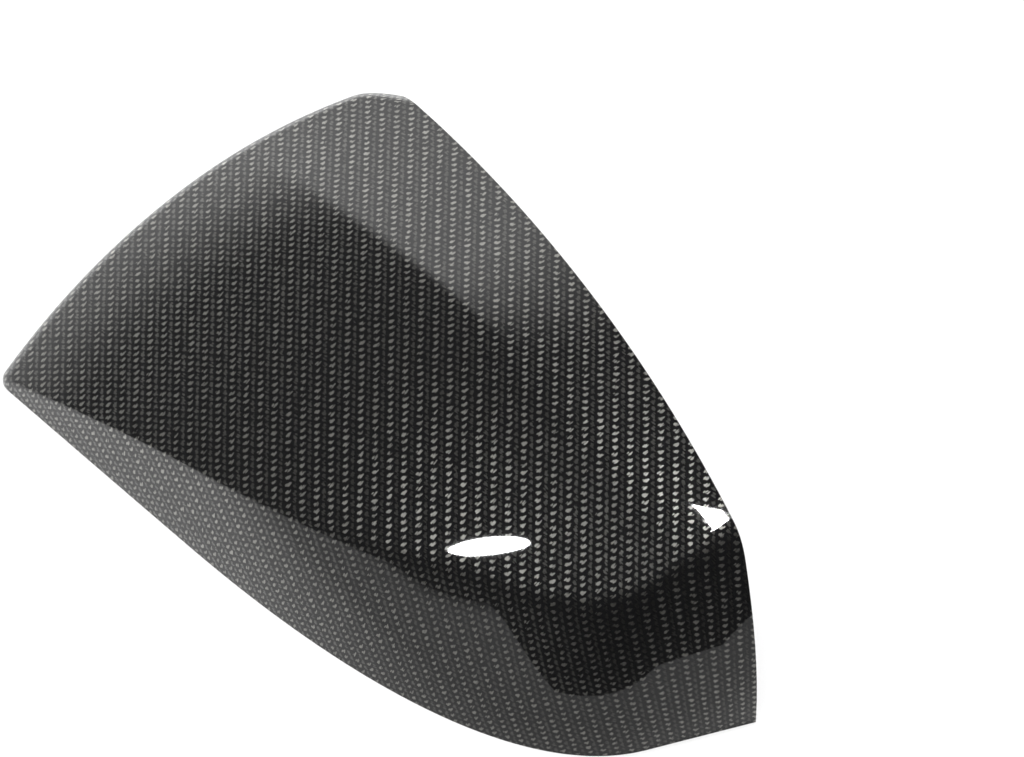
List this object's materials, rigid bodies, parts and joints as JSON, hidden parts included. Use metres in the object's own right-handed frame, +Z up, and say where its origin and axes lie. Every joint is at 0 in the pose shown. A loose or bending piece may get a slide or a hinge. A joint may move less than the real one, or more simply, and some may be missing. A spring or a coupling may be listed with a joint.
{
  "type": "wing mirror cover",
  "caption": "Thin moulded carbon fibre shell that caps the outer housing of a car's wing mirror, with a ridged sloping face, a long skirt, closed ends and one open long edge.",
  "frame": {"origin": "on the rim plane, under the middle of the shell's box", "axes": "+X from the outer tip to the root end, +Y from the long skirt to the open edge, +Z up from the rim to the ridge"},
  "size_m": [0.2576, 0.1354, 0.0791],
  "materials": {
    "carbon_fibre": "gloss clear coat over black carbon fibre twill"
  },
  "bodies": {
    "root": {"mirror_cover": "carbon_fibre"}
  },
  "joints": []
}
